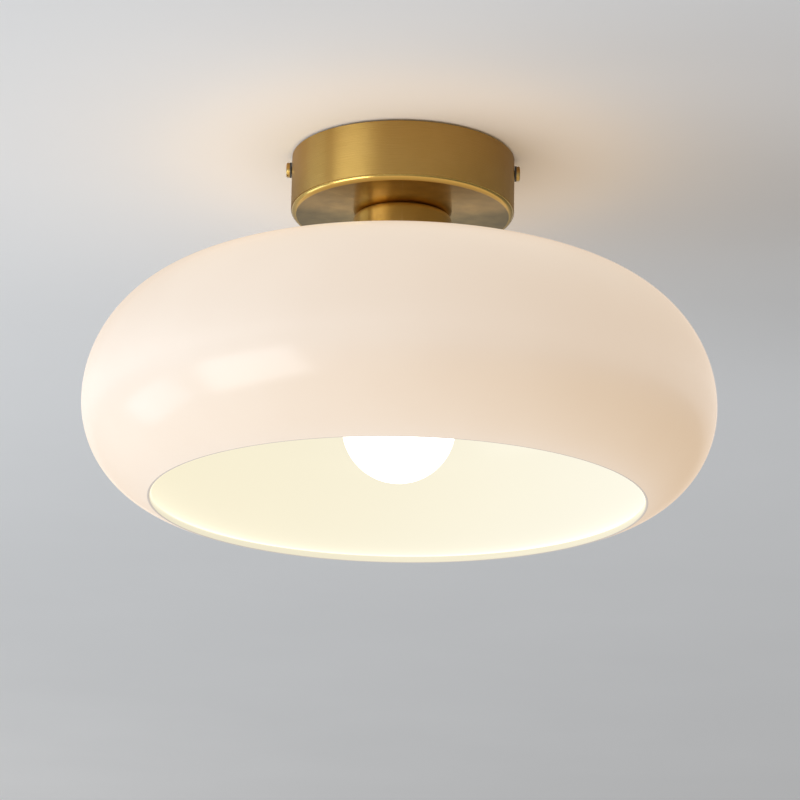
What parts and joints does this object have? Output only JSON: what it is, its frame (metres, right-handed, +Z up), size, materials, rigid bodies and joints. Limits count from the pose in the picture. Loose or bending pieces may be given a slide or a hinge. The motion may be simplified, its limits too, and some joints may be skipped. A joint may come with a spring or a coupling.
{
  "type": "semi-flush ceiling light",
  "caption": "Semi-flush ceiling light: a brass canopy and short neck carry a wide, open-bottomed opal glass shade clamped on the lampholder round a screw-in globe lamp.",
  "frame": {"origin": "on the light's axis, in the ceiling plane, at the middle of the bracket's upper face", "axes": "+Z up into the ceiling, +X along the bracket towards the right canopy screw, front on -Y"},
  "size_m": [0.3354, 0.3354, 0.192],
  "materials": {
    "satin_brass": "brushed, satin lacquer",
    "screw_brass": "turned, satin",
    "opal_glass": "cased opal, glossy outside",
    "zinc_steel": "zinc plated",
    "earth_green": "green passivated screw",
    "block_nylon": "natural nylon",
    "terminal_brass": "bright",
    "tinned_copper": "tinned",
    "live_brown": "PVC sleeve",
    "neutral_blue": "PVC sleeve",
    "earth_striped": "green and yellow PVC sleeve",
    "dark_rubber": "matt",
    "clear_silicone": "translucent silicone",
    "holder_white": "moulded phenolic, white",
    "holder_ceramic": "unglazed steatite",
    "nickel_shell": "nickel plated",
    "lamp_black": "glassy insulator",
    "lamp_white": "moulded white",
    "lamp_opal": "opal diffuser, lit",
    "board_white": "white solder mask on aluminium",
    "led_yellow": "phosphor",
    "driver_green": "circuit board"
  },
  "bodies": {
    "fixture": {"mounting_bracket": "zinc_steel", "earth_screw": "earth_green", "terminal_block": "block_nylon", "terminal_tubes": "terminal_brass", "terminal_screws": "zinc_steel", "block_screw": "zinc_steel", "live_lead": "live_brown", "neutral_lead": "neutral_blue", "earth_lead": "earth_striped", "earth_tag": "tinned_copper", "canopy": "satin_brass", "threaded_nipple": "zinc_steel", "nipple_nut": "zinc_steel", "lock_washer": "zinc_steel", "neck": "satin_brass", "neck_gasket": "clear_silicone", "holder_cap": "holder_white", "holder_grub_screw": "zinc_steel", "holder_insert": "holder_ceramic", "holder_screws": "zinc_steel", "centre_contact": "terminal_brass", "screw_shell": "nickel_shell", "holder_skirt": "holder_white"},
    "shade": {"glass_shade": "opal_glass", "shade_gasket": "clear_silicone"},
    "ring": {"shade_ring": "holder_white"},
    "lamp_contact": {"lamp_tip": "nickel_shell"},
    "lamp": {"lamp_insulator": "lamp_black", "lamp_screw_cap": "nickel_shell", "lamp_housing": "lamp_white", "lamp_driver": "driver_green", "lamp_board": "board_white", "lamp_leds": "led_yellow", "lamp_globe": "lamp_opal"},
    "left_washer": {"canopy_washer_left": "dark_rubber"},
    "left_screw": {"canopy_screw_left": "screw_brass"},
    "right_washer": {"canopy_washer_right": "dark_rubber"},
    "right_screw": {"canopy_screw_right": "screw_brass"}
  },
  "joints": [
    {"name": "shade_drop", "type": "slide", "parent": "fixture", "child": "shade", "axis": [0, 0, -1], "range_m": [0, 0.02]},
    {"name": "ring_turn", "type": "hinge", "parent": "shade", "child": "ring", "pos_m": [0, 0, -0.065], "axis": [0, 0, -1], "range_deg": [0, 2880]},
    {"name": "lamp_drop", "type": "slide", "parent": "fixture", "child": "lamp_contact", "axis": [0, 0, -1], "range_m": [0, 0.01089]},
    {"name": "lamp_turn", "type": "hinge", "parent": "lamp_contact", "child": "lamp", "pos_m": [0, 0, -0.085], "axis": [0, 0, -1], "range_deg": [0, 1080]},
    {"name": "left_screw_out", "type": "slide", "parent": "fixture", "child": "left_washer", "axis": [-1, 0, 0], "range_m": [0, 0.0049]},
    {"name": "left_screw_turn", "type": "hinge", "parent": "left_washer", "child": "left_screw", "pos_m": [-0.06, 0, -0.007], "axis": [-1, 0, 0], "range_deg": [0, 2520]},
    {"name": "right_screw_out", "type": "slide", "parent": "fixture", "child": "right_washer", "axis": [1, 0, 0], "range_m": [0, 0.0049]},
    {"name": "right_screw_turn", "type": "hinge", "parent": "right_washer", "child": "right_screw", "pos_m": [0.06, 0, -0.007], "axis": [1, 0, 0], "range_deg": [0, 2520]}
  ],
  "couplings": [
    {"joint": "ring_turn", "follows": "shade_drop", "rad_per_m": 2513.2},
    {"joint": "lamp_turn", "follows": "lamp_drop", "rad_per_m": 1731.4},
    {"joint": "left_screw_turn", "follows": "left_screw_out", "rad_per_m": 8975.9},
    {"joint": "right_screw_turn", "follows": "right_screw_out", "rad_per_m": 8975.9}
  ]
}
